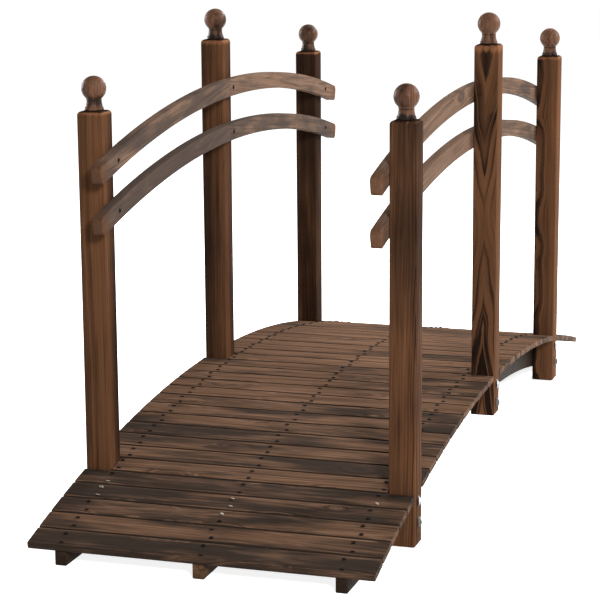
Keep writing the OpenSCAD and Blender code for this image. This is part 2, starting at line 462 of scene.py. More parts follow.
def islandsOf(node):
    # the separate solids of a CAD node, each as an array of its corners
    shell = bmesh.new()
    shell.from_mesh(nodeObjects[node].data)
    bmesh.ops.remove_doubles(shell, verts=shell.verts[:], dist=cadReading["merge"])
    left, groups = set(shell.verts), []
    while left:
        group, reach = [], [left.pop()]
        while reach:
            vert = reach.pop()
            group.append(tuple(vert.co))
            found = {edge.other_vert(vert) for edge in vert.link_edges} & left
            left -= found
            reach += found
        groups.append(np.array(group))
    shell.free()
    return sorted(groups, key=lambda g: g[:, 0].mean())


def arcOf(node, upward=True):
    # centre height and radius of a bent piece's upper or lower curve, from its CAD faces
    mesh = nodeObjects[node].data
    points = []
    for face in mesh.polygons:
        along, across, upright = face.normal
        upright = upright if upward else -upright
        if (abs(across) < cadReading["across"] and upright > cadReading["upright"]
                and abs(along) > cadReading["along"]):
            points += [mesh.vertices[i].co.xz for i in face.vertices]
    x, z = np.array(points).T
    keep = np.abs(x) < np.abs(x).max() * cadReading["inside"]
    x, z = x[keep], z[keep]
    line = np.linalg.lstsq(np.c_[z, np.ones(len(z))], x ** 2 + z ** 2, rcond=None)[0]
    centre = line[0] / 2
    return centre, math.sqrt(line[1] + centre ** 2)


# Geometry Nodes helpers
def newTree(name, inputs):
    # inputs: kinds of socket, each with its labels
    tree = bpy.data.node_groups.new(name, "GeometryNodeTree")
    addSocket, keys = tree.interface.new_socket, {}
    addSocket("Geometry", in_out="INPUT", socket_type="NodeSocketGeometry")
    addSocket("Geometry", in_out="OUTPUT", socket_type="NodeSocketGeometry")
    for kind, labels in inputs.items():
        for label in labels:
            keys[label] = addSocket(label, in_out="INPUT", socket_type="NodeSocket" + kind).identifier
    source = tree.nodes.new("NodeGroupInput")
    return tree, {label: Wire(tree, source.outputs[label]) for label in ("Geometry", *keys)}, keys


def closeTree(geometry, material):
    real = put(geometry.tree, "GeometryNodeRealizeInstances", {0: geometry})
    last = put(geometry.tree, "GeometryNodeSetMaterial", {"Geometry": real, "Material": material})
    feed(geometry.tree.nodes.new("NodeGroupOutput").inputs[0], last)


def runTree(piece, tree, keys, values):
    modifier = piece.modifiers.new(tree.name, "NODES")
    modifier.node_group = tree
    for label, value in values.items():
        modifier[keys[label]] = value
    bake(piece)


def named(tree, name, kind="FLOAT"):
    return put(tree, "GeometryNodeInputNamedAttribute", {"Name": name}, "Attribute", data_type=kind)


def store(geometry, name, value, kind="FLOAT"):
    return put(geometry.tree, "GeometryNodeStoreNamedAttribute",
               {"Geometry": geometry, "Name": name, "Value": value}, data_type=kind, domain="POINT")


def drawn(ident, low, high, seed):
    # a random number, or three, for each number in ident
    kind, first = ("FLOAT_VECTOR", 0) if isinstance(low, tuple) else ("FLOAT", 2)
    return put(ident.tree, "FunctionNodeRandomValue",
               {first: low, first + 1: high, "ID": ident, "Seed": seed}, first // 2, data_type=kind)


def facing(tree, axis):
    return put(tree, "ShaderNodeSeparateXYZ", {0: put(tree, "GeometryNodeInputNormal")}, axis)


def onPoints(given, shape, turn):
    turn = put(shape.tree, "FunctionNodeEulerToRotation", {0: turn})
    return put(shape.tree, "GeometryNodeInstanceOnPoints",
               {"Points": given["Geometry"], "Instance": shape, "Rotation": turn})


# deck boards, laid as the CAD boards lie, each cut from another place in the log
boardSpec = {
    "edge": 0.0022,          # worn long edges
    "edgeSteps": 2,
    "endEase": 0.0016,       # sanded board ends
    "endShrink": 0.955,
    "spinePoints": 26,
    "sectionCuts": 3,
    "endFacing": 0.9,        # how squarely a face looks along the board to be its end
    "warp": 0.0004,
    "warpCells": ((5.0, 2.2, 5.0), 1.0, 0.5),
    "nick": 0.00025,
    "nickCells": ((140.0, 26.0, 140.0), 2.0, 0.6),
    "sharpAngle": 48.0,
    "seed": 41,
    "slopeSeed": 7.0,        # added to it
    "figureSeed": 13.0,
    "boards": 35,
    "rows": ("front_ramp_boards", "front_post_board", "front_span_boards", "middle_post_board",
             "back_span_boards", "back_post_board", "back_ramp_boards"),
    # where the boards sat in their logs, how their fibres run and how strong their rings show
    "pith": ((-0.050, -6.0, 0.012), (0.050, 6.0, 0.085)),
    "slope": ((-0.030, 0.0, -0.030), (0.030, 0.0, 0.030)),
    "figure": (0.25, 0.75),
    # boards counted from the front that were burnt darker (+) or lighter (-), and the
    # change of that towards the left end
    "burns": {0: (0.60, 0.30), 1: (0.10, 0.10), 2: (0.22, 0.35), 3: (0.55, 0.40), 4: (0.35, 0.05),
              5: (0.0, 0.0), 6: (0.40, -0.60), 7: (0.18, 0.20), 8: (0.40, 0.25)},
    "looseBurn": (-0.30, 0.40),  # of the other boards
    "looseDrift": 0.45,
    "driftToMetre": 2.0,
    "crown": (12, 25),           # boards at the crown are walked paler
    "crownWear": -0.30,
    "edgeWear": 0.55,            # paler line along the upper edges
    "edgeReach": 1.1,            # of the edge's radius, in from the side
    "sideBurn": 2.0,             # stain in the joints between the boards
    "sideReach": 0.4,
}


def boardTree(spec):
    tree, given, keys = newTree("layBoards", {
        "Float": ("Board Width", "Board Length", "Board Thickness", "Edge Radius", "End Ease", "End Shrink",
                  "Warp", "Nick", "Edge Wear", "Side Burn"),
        "Int": ("Spine Points", "Seed"), "Material": ("Wood",)})
    half = given["Board Length"] * 0.5 - given["End Ease"]
    spine = put(tree, "GeometryNodeCurvePrimitiveLine",
                {"Start": xyz(tree, Y=half * -1.0), "End": xyz(tree, Y=half)})
    spine = put(tree, "GeometryNodeResampleCurve", {"Curve": spine, "Count": given["Spine Points"]},
                mode="COUNT")
    outline = put(tree, "GeometryNodeCurvePrimitiveQuadrilateral",
                  {"Width": given["Board Width"], "Height": given["Board Thickness"]})
    outline = put(tree, "GeometryNodeSubdivideCurve", {"Curve": outline, "Cuts": spec["sectionCuts"]})
    outline = put(tree, "GeometryNodeFilletCurve",
                  {"Curve": outline, "Count": spec["edgeSteps"], "Radius": given["Edge Radius"],
                   "Limit Radius": True}, mode="POLY")
    bar = put(tree, "GeometryNodeCurveToMesh", {"Curve": spine, "Profile Curve": outline, "Fill Caps": True})
    isEnd = facing(tree, "Y").maths("ABSOLUTE").maths("GREATER_THAN", spec["endFacing"])
    ends = put(tree, "GeometryNodeExtrudeMesh",
               {"Mesh": bar, "Selection": isEnd, "Offset Scale": given["End Ease"], "Individual": True},
               mode="FACES")
    eased = put(tree, "GeometryNodeScaleElements",
                {"Geometry": ends, "Selection": ends.also("Top"), "Scale": given["End Shrink"]},
                domain="FACE")
    local = store(eased, "grain", put(tree, "GeometryNodeInputPosition"), "FLOAT_VECTOR")
    laid = onPoints(given, local, xyz(tree, Y=named(tree, "tilt")))
    real = put(tree, "GeometryNodeRealizeInstances", {0: laid})

    # stain on the sides, a worn line along the upper edges, and where each board sat in its log
    ident = named(tree, "ident", "INT")
    inBoard = named(tree, "grain", "FLOAT_VECTOR")
    along = put(tree, "ShaderNodeSeparateXYZ", {0: inBoard}, "Y")
    fromSide = given["Board Width"] * 0.5 - along.also("X").maths("ABSOLUTE")
    onSide, nearSide = ((given["Edge Radius"] * spec[key]).maths("GREATER_THAN", fromSide)
                        for key in ("sideReach", "edgeReach"))
    onEdge = (nearSide - onSide) * along.also("Z").maths("GREATER_THAN", 0.0)
    burn = along * named(tree, "burnDrift") + named(tree, "burn")
    burn = burn + onSide * (named(tree, "joined") * given["Side Burn"])
    lean = scaled(drawn(ident, *spec["slope"], given["Seed"] + spec["slopeSeed"]), along)
    inLog = vec("ADD", vec("ADD", inBoard, drawn(ident, *spec["pith"], given["Seed"])), lean)
    cut = store(real, "scorch", burn)
    cut = store(cut, "pale", onEdge * given["Edge Wear"])
    cut = store(cut, "grain", inLog, "FLOAT_VECTOR")       # last, because the others read the board's own
    cut = store(cut, "figure", drawn(ident, *spec["figure"], given["Seed"] + spec["figureSeed"]))

    # a little warp and worn edges
    inLog = named(tree, "grain", "FLOAT_VECTOR")
    sway = (noise(inLog, *spec["warpCells"]) - 0.5) * (given["Warp"] * 2.0)
    dent = scaled(centred(noise(inLog, *spec["nickCells"], "Color")), given["Nick"])
    worn = put(tree, "GeometryNodeSetPosition",
               {"Geometry": cut, "Offset": vec("ADD", xyz(tree, Z=sway), dent)})
    soft = put(tree, "GeometryNodeSetShadeSmooth", {0: worn, "Shade Smooth": True}, domain="FACE")
    sharp = put(tree, "GeometryNodeInputMeshEdgeAngle")
    sharp = sharp.maths("GREATER_THAN", math.radians(spec["sharpAngle"]))
    crisp = put(tree, "GeometryNodeSetShadeSmooth", {0: soft, "Selection": sharp, "Shade Smooth": False},
                domain="EDGE")
    closeTree(crisp, given["Wood"])
    return tree, keys


def boardSeats(node):
    # centre, tilt, width, length and thickness of every board of a row
    seats = []
    for corners in islandsOf(node):
        flat = corners[:, (0, 2)]
        axis = np.linalg.eigh(np.cov((flat - flat.mean(0)).T))[1][:, 1]
        axis = axis if axis[0] > 0 else -axis
        up = np.array((-axis[1], axis[0]))
        (wide, width), (high, thickness), (span, length) = (
            ((v.max() + v.min()) / 2, v.max() - v.min()) for v in (flat @ axis, flat @ up, corners[:, 1]))
        centre = axis * wide + up * high
        seats.append({"centre": (centre[0], span, centre[1]), "tilt": -math.atan2(axis[1], axis[0]),
                      "width": width, "thickness": thickness, "length": length,
                      "up": (up[0], 0.0, up[1]), "axis": (axis[0], 0.0, axis[1])})
    return seats


def layDeck(spec):
    tree, keys = boardTree(spec)
    dice = random.Random(spec["seed"])
    seatsByRow, ident = {}, 0
    for row in spec["rows"]:
        seats = boardSeats(row)
        seatsByRow[row] = seats
        numbers = range(ident, ident + len(seats))
        ident += len(seats)
        burns = []
        for number in numbers:
            wear = spec["crownWear"] if spec["crown"][0] <= number <= spec["crown"][1] else 0.0
            drift = dice.uniform(-spec["looseDrift"], spec["looseDrift"])
            loose = (dice.uniform(*spec["looseBurn"]) + wear, drift)
            burns.append(spec["burns"].get(number, loose))
        mesh = bpy.data.meshes.new(row)
        mesh.from_pydata([s["centre"] for s in seats], [], [])
        setLayer(mesh, "tilt", "FLOAT", [s["tilt"] for s in seats])
        setLayer(mesh, "burn", "FLOAT", [b[0] for b in burns])
        setLayer(mesh, "burnDrift", "FLOAT", [b[1] * spec["driftToMetre"] for b in burns])
        setLayer(mesh, "joined", "FLOAT", [0 < number < spec["boards"] - 1 for number in numbers])
        setLayer(mesh, "ident", "INT", numbers)
        piece = addPiece(camel(row), mesh)
        first = seats[0]
        runTree(piece, tree, keys, {
            "Board Width": first["width"], "Board Length": first["length"],
            "Board Thickness": first["thickness"], "Edge Radius": spec["edge"], "End Ease": spec["endEase"],
            "End Shrink": spec["endShrink"], "Spine Points": spec["spinePoints"], "Warp": spec["warp"],
            "Nick": spec["nick"], "Edge Wear": spec["edgeWear"], "Side Burn": spec["sideBurn"],
            "Seed": spec["seed"], "Wood": woodFinish["deck"]})
        fasten(piece, row)
    print("deck boards laid:", ident)
    return seatsByRow


deckSeats = layDeck(boardSpec)


# stringers bent under the deck, flat where they stand on the ground
stringerSpec = {
    "edge": 0.0025,
    "edgeSteps": 2,
    "step": 0.045,
    "figure": 0.6,
    "cuts": {"left_stringer": {"pith": (0.030, 1.7, 0.055), "slope": (0.010, 0.012), "scorch": 0.70},
             "middle_stringer": {"pith": (-0.020, 9.3, 0.048), "slope": (-0.012, 0.015), "scorch": 0.0},
             "right_stringer": {"pith": (0.024, -6.1, 0.060), "slope": (0.014, -0.010), "scorch": 1.20}},
}


def makeStringers(spec):
    for name, cut in spec["cuts"].items():
        (_, right, _), (reach, left, _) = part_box(name)
        middle = (right + left) / 2
        centre, upper = arcOf(name)
        lower = arcOf(name, False)[1]
        foot = math.sqrt(max(lower ** 2 - centre ** 2, 0.0))     # where the lower curve meets the ground
        stations = {round(x, 5) for x in np.arange(-reach, reach, spec["step"])} | {reach, foot, -foot}
        rings = []
        for x in sorted(stations):
            top = centre + math.sqrt(upper ** 2 - x * x)
            bottom = max(0.0, centre + math.sqrt(lower ** 2 - x * x))
            halfway = (top + bottom) / 2
            rings.append([(x, y, z) for y, z in ((right, bottom), (middle, bottom), (left, bottom),
                                                 (left, halfway), (left, top), (middle, top),
                                                 (right, top), (right, halfway))])
        piece = loft(camel(name), rings)
        roundEdges(piece, spec["edge"], spec["edgeSteps"])
        smooth(piece)
        x, y, z = vertexPlaces(piece.data).T
        local = np.c_[np.hypot(x, z - centre) - upper, np.arctan2(x, z - centre) * upper, y - middle]
        dress(piece, "stringer", "stringers", name, grainOf(local, cut),
              scorch=cut["scorch"], figure=spec["figure"])
    print("stringers bent:", len(spec["cuts"]))


makeStringers(stringerSpec)


# posts: planed square, rounded edges and a rounded shoulder at the top
postSpec = {
    "edge": 0.0032,
    "edgeSteps": 3,
    "shoulder": 0.0070,
    "shoulderSteps": 5,
    "footEase": 0.0015,
    "smoothAngle": 40.0,
    "step": 0.055,
    "topSteps": (0.026, 0.018, 0.012, 0.007, 0.003, 0.0),     # closer rings where the top is worn
    "topClear": 0.030,
    "topStain": 0.0028,              # dark ring of stain round the finial
    "stainDepth": 2.0,
    # how each post was sawn from its log. The scorch level and "figure" are for the front face's middle, with
    # their rise towards the left face and towards the back; the scorch level's rise towards the back is
    # painted shade on the side faces, toning down the lamp light on them; "worn" is the paler band below the
    # top;
    # "vees" bends the rings to pointed figures, down above a height and up below it, and "waves"
    # to a wavy figure along the left edge (side 1) or the right edge (side -1)
    "cuts": {
        "front_left_post": {"pith": (0.004, 3.1, 0.070), "slope": (0.004, 0.006), "turn": 25.0,
                            "scorch": (-0.20, 0.10, 1.30), "figure": (0.22, 0.0, 0.1),
                            "worn": (0.003, 0.011)},
        "front_right_post": {"pith": (0.046, 7.7, 0.020), "slope": (0.010, 0.012), "turn": 0.0,
                             "scorch": (0.46, -0.10, 0.0), "figure": (0.30, -0.80, 0.2),
                             "worn": (0.001, 0.005), "step": 0.018,
                             "waves": {"side": -1.0, "depth": 0.0428, "spread": 1.2, "back": 0.5,
                                       "swings": ((0.0024, 0.46), (0.0010, 0.17))}},
        "middle_left_post": {"pith": (-0.010, 12.9, 0.060), "slope": (0.006, -0.008), "turn": 60.0,
                             "scorch": (0.15, 0.35, 0.9), "figure": (0.28, 0.0, 0.1), "worn": (0.004, 0.017)},
        "middle_right_post": {"pith": (0.0, -4.4, 0.0), "slope": (0.0, 0.0), "turn": 0.0,
                              "scorch": (-0.45, 0.0, 0.0), "figure": (0.95, 0.0, -0.3),
                              "worn": (0.008, 0.028), "step": 0.018,
                              # the rings show less between the depths "calm", and within "rest" of the height
                              "vees": {"height": 0.43, "depth": 0.055, "fall": (0.053, 0.085),
                                       "across": (0.42, 0.50), "back": 0.90, "calm": (0.145, 0.248),
                                       "calmFade": 0.03, "calmLevel": 0.30, "rest": 0.13, "restLevel": 0.35,
                                       "swings": ((0.0042, 0.43), (0.0026, 0.155))}},
        "back_left_post": {"pith": (0.012, -9.8, 0.066), "slope": (-0.004, 0.006), "turn": 40.0,
                           "scorch": (0.80, 0.0, 0.2), "figure": (0.25, 0.0, 0.0), "worn": (0.004, 0.010)},
        "back_right_post": {"pith": (0.0, 15.2, 0.0), "slope": (0.0, 0.0), "turn": 0.0,
                            "scorch": (-0.70, -0.20, 0.0), "figure": (0.45, 0.80, -0.4),
                            "worn": (0.003, 0.014), "step": 0.018,
                            "waves": {"side": 1.0, "depth": 0.022, "spread": 0.50, "back": 0.9,
                                      "swings": ((0.007, 0.31), (0.003, 0.127), (0.0015, 0.071))}},
    },
}


def postRing(spec, half, z, centre):
    ring = []
    corner, steps = spec["edge"], spec["edgeSteps"]
    for quarter in range(4):
        sx, sy = (1, 1, -1, -1)[quarter], (-1, 1, 1, -1)[quarter]
        for k in range(steps + 1):
            angle = math.pi / 2 * (quarter - 1 + k / steps)
            ring.append((centre[0] + sx * (half - corner) + corner * math.cos(angle),
                         centre[1] + sy * (half - corner) + corner * math.sin(angle), z))
        nx, ny = ((1, 0), (0, 1), (-1, 0), (0, -1))[quarter]
        ring.append((centre[0] + nx * half, centre[1] + ny * half, z))
    return ring


def swingAt(spec, up):
    return sum(size * np.sin(2 * math.pi * up / length) for size, length in spec["swings"])


def ramp(values):
    return np.clip(values, 0.0, 1.0)


def makePosts(spec):
    shoulder, ease = spec["shoulder"], spec["footEase"]
    for name, cut in spec["cuts"].items():
        low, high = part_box(name)
        centre = ((low[0] + high[0]) / 2, (low[1] + high[1]) / 2)
        half = (high[0] - low[0]) / 2
        top = high[2] - shoulder
        count = round((top - low[2]) / cut.get("step", spec["step"]))
        heights = [low[2] + ease + (top - low[2] - ease) * i / count for i in range(count)]
        heights = [z for z in heights if z < top - spec["topClear"]]
        heights += [top - step for step in spec["topSteps"]]
        sizes = [(half - ease, low[2])] + [(half, z) for z in heights]
        for i in range(1, spec["shoulderSteps"] + 1):
            turn = math.pi / 2 * i / spec["shoulderSteps"]
            sizes.append((half - shoulder * (1 - math.cos(turn)), top + shoulder * math.sin(turn)))
        piece = loft(camel(name), [postRing(spec, size, z, centre) for size, z in sizes])
        smooth(piece, spec["smoothAngle"])

        x, y, z = vertexPlaces(piece.data).T
        x, y, height, down = x - centre[0], y - centre[1], z - low[2], high[2] - z
        spin = math.radians(cut["turn"])
        sine, cosine = math.sin(spin), math.cos(spin)
        local = np.c_[x * sine + y * cosine, height, x * cosine - y * sine]
        # the scorch level's third number darkens the side faces towards the back: painted shade that tones
        # down the lamp light on them
        levels = {key: cut[key][0] + cut[key][1] * y / half + cut[key][2] * (x + half) / (2 * half)
                  for key in ("scorch", "figure")}
        if "vees" in cut:
            vees = cut["vees"]
            up = height - vees["height"]
            fall, across = (np.where(up > 0, vees[key][1], vees[key][0]) for key in ("fall", "across"))
            aside = np.abs(y - swingAt(vees, up))
            local[:, 0] = 0.0
            local[:, 2] = vees["depth"] - fall * np.abs(up) + across * aside + vees["back"] * (x + half)
            reach = down + aside * vees["across"][1] / vees["fall"][1]       # where its vee meets the middle
            beyond = np.maximum(vees["calm"][0] - reach, reach - vees["calm"][1]) / vees["calmFade"]
            for level, share in ((vees["calmLevel"], beyond), (vees["restLevel"], np.abs(up) / vees["rest"])):
                levels["figure"] = levels["figure"] * (level + (1.0 - level) * ramp(share))
        if "waves" in cut:
            waves = cut["waves"]
            inward = half - waves["side"] * y
            local[:, 0] = 0.0
            local[:, 2] = waves["depth"] + waves["spread"] * inward + waves["back"] * (x + half)
            local[:, 2] += swingAt(waves, height) * ramp(1.0 - inward / (2 * half)) ** 2
        near, far = cut["worn"]
        onTop = ramp(1.0 - down / spec["topStain"])
        dress(piece, "post", "posts", name, grainOf(local, cut), figure=levels["figure"],
              scorch=levels["scorch"] + spec["stainDepth"] * onTop,
              pale=ramp((far - down) / (far - near)) * (1.0 - onTop))
    print("posts set up:", len(spec["cuts"]))


makePosts(postSpec)


# rails: sawn in two halves with rounded ends, half lapped on the middle posts
railSpec = {
    "edge": 0.0042,
    "edgeSteps": 3,
    "lapShare": 0.13,        # of that, on the edges of the lap
    "corner": 0.011,
    "cornerSteps": 5,
    "step": 0.045,
    "lapPlay": 0.0005,       # short of the lap's shoulder
    "faceSlack": 1e-4,       # within which a CAD corner lies on a face
    "figure": 0.7,
    "unsheenedEnd": 1.1,          # the ends keep the plain brown without the painted sheen, fading over endReach
    "endReach": 0.08,
    # the front half of each rail, then its back half
    "cuts": {
        "left_upper_rail": ({"pith": (0.012, 2.3, 0.045), "slope": (0.0, 0.010), "scorch": 0.45},
                            {"pith": (0.020, 5.1, 0.052), "slope": (0.002, -0.010), "scorch": -0.15}),
        "left_lower_rail": ({"pith": (-0.030, 11.1, 0.038), "slope": (-0.004, 0.008), "scorch": 1.10},
                            {"pith": (0.016, 16.4, 0.047), "slope": (0.003, 0.006), "scorch": 0.55}),
        "right_upper_rail": ({"pith": (0.022, -7.4, 0.050), "slope": (0.002, -0.008), "scorch": -0.80},
                             {"pith": (-0.018, -3.2, 0.044), "slope": (0.004, 0.008), "scorch": 0.30}),
        "right_lower_rail": ({"pith": (-0.014, -13.6, 0.042), "slope": (-0.004, 0.008), "scorch": -0.60},
                             {"pith": (0.010, -19.0, 0.048), "slope": (0.0, -0.008), "scorch": 0.20}),
    },
}


def railCells(spec, halfArc, shoulder, tip):
    # stations from a half's rounded end to its tip, each with what the rounding takes off, and the
    # cells of its plan: two across, one of them only as far as the shoulder of the lap
    corner, turns = spec["corner"], np.linspace(0.0, math.pi / 2, spec["cornerSteps"] + 1)
    stations = [(halfArc - corner * (1 - math.cos(turn)), corner * (1 - math.sin(turn))) for turn in turns]
    first = halfArc - corner
    count = round((first - shoulder) / spec["step"])
    stations += [(first + (shoulder - first) * i / count, 0.0) for i in range(1, count + 1)]
    lap = len(stations) - 1
    stations += [(shoulder + (tip - shoulder) * i / 2, 0.0) for i in (1, 2)]
    cells = {(i, j) for i in range(len(stations) - 1) for j in (0, 1) if j == 0 or i < lap}
    return stations, cells, lap


def makeRails(spec):
    for name, cuts in spec["cuts"].items():
        low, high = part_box(name)
        centre, upper = arcOf(name)
        middle = (low[1] + high[1]) / 2
        outward = 1.0 if middle > 0 else -1.0
        points, faces, lapCorners = [], [], set()
        for end, corners in zip((-1.0, 1.0), islandsOf(name)):
            turn = end * np.arctan2(corners[:, 0], corners[:, 2] - centre)
            lower = np.hypot(corners[:, 0], corners[:, 2] - centre).min()
            tongueFace, innerFace = (low[1], high[1]) if end * outward > 0 else (high[1], low[1])
            levels = sorted(set(np.round(corners[:, 1], 5)), key=lambda v: abs(v - tongueFace))
            shoulder = turn[np.abs(corners[:, 1] - innerFace) < spec["faceSlack"]].min() * upper
            stations, cells, lap = railCells(spec, turn.max() * upper, shoulder, turn.min() * upper)
            keys = {}

            def at(i, j, k):
                if (i, j, k) not in keys:
                    along, trim = stations[i]
                    r = (lower + trim, (lower + upper) / 2, upper - trim)[k]
                    keys[i, j, k] = len(points)
                    points.append((r * math.sin(end * along / upper), (tongueFace, levels[1], innerFace)[j],
                                   centre + r * math.cos(end * along / upper)))
                return keys[i, j, k]

            for i, j in sorted(cells):
                for k in (0, 2):
                    faces.append((at(i, j, k), at(i + 1, j, k), at(i + 1, j + 1, k), at(i, j + 1, k)))
                for di, dj, a, b in ((-1, 0, (0, 0), (0, 1)), (1, 0, (1, 0), (1, 1)),
                                     (0, -1, (0, 0), (1, 0)), (0, 1, (0, 1), (1, 1))):
                    if (i + di, j + dj) not in cells:
                        for k in (0, 1):
                            faces.append((at(i + a[0], j + a[1], k), at(i + b[0], j + b[1], k),
                                          at(i + b[0], j + b[1], k + 1), at(i + a[0], j + a[1], k + 1)))
            tipNumber = len(stations) - 1
            lapCorners |= {v for (i, j, k), v in keys.items() if i >= lap and (j > 0 or i == tipNumber)}
        piece = addShell(camel(name), points, faces)
        roundEdges(piece, spec["edge"], spec["edgeSteps"],
                   share=lambda a, b: spec["lapShare"] if {a, b} <= lapCorners else 1.0)
        smooth(piece)

        # each half is sawn from a straight board, so its fibres follow its chord
        x, y, z = vertexPlaces(piece.data).T
        z, y = z - centre, y - middle
        turn = np.arctan2(x, z)
        onTongue = np.abs(turn) * upper <= shoulder - spec["lapPlay"]
        inFront = np.where(onTongue, y * outward > 0, turn < 0)
        halfTurn = np.abs(turn).max()
        grains = []
        for end, cut in zip((-1.0, 1.0), cuts):
            sine, cosine = math.sin(end * halfTurn / 2), math.cos(end * halfTurn / 2)
            local = np.c_[x * sine + z * cosine - upper, x * cosine - z * sine, y]
            grains.append(grainOf(local, cut))
        # the ends go back to the plain brown, without the painted sheen that greys the rest of the rail
        fromEnd = (halfTurn - np.abs(turn)) * upper
        dress(piece, "rail", "rails", name, np.where(inFront[:, None], *grains), figure=spec["figure"],
              scorch=np.where(inFront, *(cut["scorch"] for cut in cuts)),
              pale=spec["unsheenedEnd"] * ramp(1.0 - fromEnd / spec["endReach"]))
    print("rails joined:", len(spec["cuts"]))


makeRails(railSpec)


# turned ball finials
finialSpec = {
    "ball": 0.02425,
    "neck": 0.01475,
    "neckHollow": 0.006,
    "skirt": 0.017,
    "collar": 0.0185,
    "collarHeight": 0.007,
    "collarEdge": 0.0025,
    "segments": 40,
    "edgeSteps": 4,
    "skirtSteps": 8,
    "ballSteps": 18,
    "smoothAngle": 50.0,
    "darkBelow": 0.013,      # the stain pooled on the collar, more on some than on others
    "darkFade": 0.007,
    "soot": 0.55,            # painted shade under the ball and in the neck's hollow
    "shadeUnderReach": 0.029,      # above the neck
    "foot": (0.002, 1.5),            # stain on the post, its height and depth
    "turnedLine": (0.0012, 0.5),     # burnt line where the ball begins
    "tone": {"front_left": 0.15, "front_right": 0.36, "middle_left": 0.28, "middle_right": -0.70,
             "back_left": 0.50, "back_right": 0.15},
    "pooled": {"front_left": -0.25, "front_right": 0.7, "middle_left": 0.3, "middle_right": -0.1,
               "back_left": 0.1, "back_right": 0.5},
    # each is cut further along its log than the one before, and turned by spin
    "pith": (0.012, 1.0, 0.030),
    "pithStep": (0.0, 3.7, 0.0),
    "slope": (0.02, 0.03),
    "spin": 1.9,
    "figure": 0.7,
}


def arcPoints(aside, height, radius, turns):
    return [(aside + radius * math.cos(turn), height + radius * math.sin(turn)) for turn in turns]


def finialOutline(spec, height):
    # radii and heights from the foot to the top, and the height of the neck
    ball, neck, hollow, edge, skirt, shelf = (
        spec[key] for key in ("ball", "neck", "neckHollow", "collarEdge", "skirt", "collarHeight"))
    inner, ballCentre, reach = spec["collar"] - edge, height - ball, neck + hollow
    drop = math.sqrt((ball + hollow) ** 2 - reach ** 2)
    neckHeight = ballCentre - drop
    count = spec["edgeSteps"] + 1
    outline = arcPoints(inner, edge, edge, np.linspace(-math.pi / 2, 0.0, count))
    last = math.acos((skirt - inner) / edge)
    outline += arcPoints(inner, shelf - edge, edge, np.linspace(0.0, last, count))
    flare, climb = skirt - neck, neckHeight - shelf
    sweep = (flare ** 2 + climb ** 2) / (2 * flare)
    for z in np.linspace(shelf, neckHeight, spec["skirtSteps"] + 1):
        outline.append((neck + sweep - math.sqrt(sweep ** 2 - (neckHeight - z) ** 2), z))
    last = math.atan2(drop, -reach)
    outline += arcPoints(reach, neckHeight, hollow, np.linspace(math.pi, last, count)[1:-1])
    first = math.pi / 2 - math.atan2(reach, -drop)
    outline += arcPoints(0.0, ballCentre, ball, np.linspace(first, math.pi / 2, spec["ballSteps"] + 1)[:-1])
    return outline, neckHeight


def makeFinials(spec):
    turns = [2 * math.pi * k / spec["segments"] for k in range(spec["segments"])]
    for number, (place, pooled) in enumerate(spec["pooled"].items()):
        node = place + "_finial"
        low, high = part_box(node)
        cx, cy = (low[0] + high[0]) / 2, (low[1] + high[1]) / 2
        outline, neckHeight = finialOutline(spec, high[2] - low[2])
        piece = loft(camel(node), [[(cx + r * math.cos(turn), cy + r * math.sin(turn), low[2] + z)
                                    for turn in turns] for r, z in outline])
        smooth(piece, spec["smoothAngle"])
        x, y, up = (vertexPlaces(piece.data) - (cx, cy, low[2])).T
        spin = spec["spin"] * number
        local = np.c_[x * math.cos(spin) - y * math.sin(spin), up, x * math.sin(spin) + y * math.cos(spin)]
        pith = np.array(spec["pith"]) + number * np.array(spec["pithStep"])
        # painted shade: darker under the ball and in the neck, fading out above the neck
        under = ramp(1.0 - (up - neckHeight) / spec["shadeUnderReach"])
        burn = spec["soot"] * under + spec["tone"][place] * (1.0 - under)
        burn += pooled * ramp((spec["darkBelow"] - up) / spec["darkFade"])
        for (width, depth), height in ((spec["foot"], 0.0), (spec["turnedLine"], neckHeight)):
            burn += depth * ramp(1.0 - np.abs(up - height) / width)
        dress(piece, "finial", "finials", node, grainOf(local, {"pith": pith, "slope": spec["slope"]}),
              scorch=burn, figure=spec["figure"])
    print("finials turned:", len(spec["pooled"]))


makeFinials(finialSpec)


# screws and bolts: heads set on points that carry a direction and a twist
screwSpec = {
    "head": 0.0034,
    "burnRing": 0.0046,
    "sides": 12,
    "dish": 0.55,            # of the head
    "topFacing": 0.95,       # how squarely a face looks up to be the head's top
    "spread": 0.27,          # of the board's width, to each side of its middle
    "stagger": 0.0025,
    "scatter": 0.0022,
    "lift": 0.0010,
    "seed": 97,
    # heads drawn in the pale screw metal: board counted from the front, line counted from the right, side
    "bright": ((3, 2, -1), (3, 2, 1), (3, 1, -1), (3, 1, 1), (4, 0, -1), (4, 2, -1), (2, 1, 1), (9, 0, 1)),
    "railShift": {"front": 0.0, "middle": -0.016, "back": 0.0},
}


def cone(tree, sides, bottom, top, depth):
    return put(tree, "GeometryNodeMeshCone", {"Vertices": sides, "Radius Bottom": bottom, "Radius Top": top,
                                              "Depth": depth}, fill_type="NGON")


def raised(shape, lift):
    return put(shape.tree, "GeometryNodeTransform",
               {"Geometry": shape, "Translation": xyz(shape.tree, Z=lift)})


def headTree(spec):
    # a countersunk head: a dished disc with a rim, low enough to lie almost flush
    tree, given, keys = newTree("driveScrews", {"Float": ("Head Radius", "Ring Radius", "Lift"),
                                                "Int": ("Sides",), "Material": ("Metal",)})
    rim = cone(tree, given["Sides"], given["Ring Radius"], given["Head Radius"], given["Lift"])
    isTop = facing(tree, "Z").maths("GREATER_THAN", spec["topFacing"])
    dish = put(tree, "GeometryNodeExtrudeMesh", {"Mesh": rim, "Selection": isTop, "Offset Scale": 0.0},
               mode="FACES")
    dish = put(tree, "GeometryNodeScaleElements",
               {"Geometry": dish, "Selection": dish.also("Top"), "Scale": spec["dish"]}, domain="FACE")
    closeTree(onPoints(given, dish, named(tree, "turn", "FLOAT_VECTOR")), given["Metal"])
    return tree, keys


